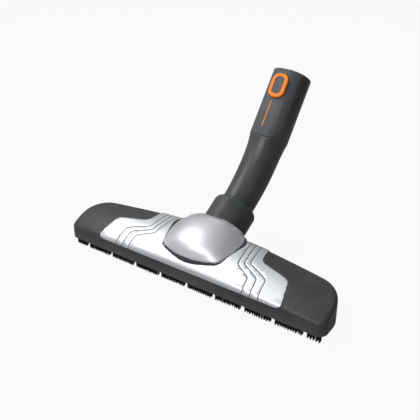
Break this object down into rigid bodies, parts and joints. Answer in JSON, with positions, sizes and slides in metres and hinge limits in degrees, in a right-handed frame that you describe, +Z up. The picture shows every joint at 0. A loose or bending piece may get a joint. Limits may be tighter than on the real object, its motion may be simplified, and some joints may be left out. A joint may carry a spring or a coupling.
{
  "type": "hard floor vacuum nozzle",
  "caption": "Slim hard floor vacuum nozzle with bristle strips, a tilting and swivelling bent neck and a push button tube latch.",
  "frame": {"origin": "on the floor, under the middle of the overall box", "axes": "+X along the head to the right seen from the front, +Y to the rear, +Z up"},
  "size_m": [0.2954, 0.2082, 0.1718],
  "materials": {
    "housing_grey": "satin moulded plastic",
    "panel_silver": "metallic silver lacquer on plastic",
    "cap_silver": "metallic silver lacquer on plastic",
    "sole_grey": "matt moulded plastic",
    "screw_steel": "zinc plated steel",
    "carrier_black": "matt plastic",
    "bristle_black": "nylon bristle",
    "duct_grey": "matt moulded plastic",
    "seal_rubber": "soft rubber",
    "knuckle_grey": "satin moulded plastic",
    "ring_grey": "satin moulded plastic",
    "neck_grey": "semi-gloss moulded plastic",
    "cover_grey": "semi-gloss moulded plastic",
    "button_orange": "glossy moulded plastic",
    "pad_grey": "satin moulded plastic",
    "latch_plastic": "natural acetal",
    "spring_steel": "spring steel",
    "wheel_black": "soft plastic"
  },
  "bodies": {
    "head": {"front_bristle_carrier": "carrier_black", "front_bristles": "bristle_black", "hub_cap": "cap_silver", "knuckle_seal": "seal_rubber", "rear_bristle_carrier_left": "carrier_black", "rear_bristle_carrier_right": "carrier_black", "rear_bristles_left": "bristle_black", "rear_bristles_right": "bristle_black", "silver_panel": "panel_silver", "sole_plate": "sole_grey", "sole_screws": "screw_steel", "suction_duct": "duct_grey", "upper_housing": "housing_grey", "wheel_axle_left": "screw_steel", "wheel_axle_right": "screw_steel"},
    "knuckle": {"knuckle": "knuckle_grey", "retaining_ring": "ring_grey"},
    "neck": {"neck_tube": "neck_grey", "neck_cover": "cover_grey", "latch_spring": "spring_steel"},
    "latch": {"latch_lever": "latch_plastic", "button_ring": "button_orange", "button_pad": "pad_grey"},
    "wheel_left": {"rear_wheel_left": "wheel_black"},
    "wheel_right": {"rear_wheel_right": "wheel_black"}
  },
  "joints": [
    {"name": "neck_tilt", "type": "hinge", "parent": "head", "child": "knuckle", "pos_m": [0, -0.04718, 0.03], "axis": [1, 0, 0], "range_deg": [-33, 0]},
    {"name": "neck_swivel", "type": "hinge", "parent": "knuckle", "child": "neck", "pos_m": [0, -0.04718, 0.03], "axis": [0, 0.8572, 0.515], "range_deg": [-90, 90]},
    {"name": "latch_press", "type": "hinge", "parent": "neck", "child": "latch", "pos_m": [0, 0.05593, 0.14572], "axis": [-1, 0, 0], "range_deg": [0, 4.2], "stiffness_Nm_per_rad": 0.4, "springref_deg": -4.01, "deforming": ["latch_spring"]},
    {"name": "wheel_left_spin", "type": "hinge", "parent": "head", "child": "wheel_left", "pos_m": [-0.0339, -0.03318, 0.008], "axis": [1, 0, 0], "continuous": true},
    {"name": "wheel_right_spin", "type": "hinge", "parent": "head", "child": "wheel_right", "pos_m": [0.0339, -0.03318, 0.008], "axis": [1, 0, 0], "continuous": true}
  ]
}
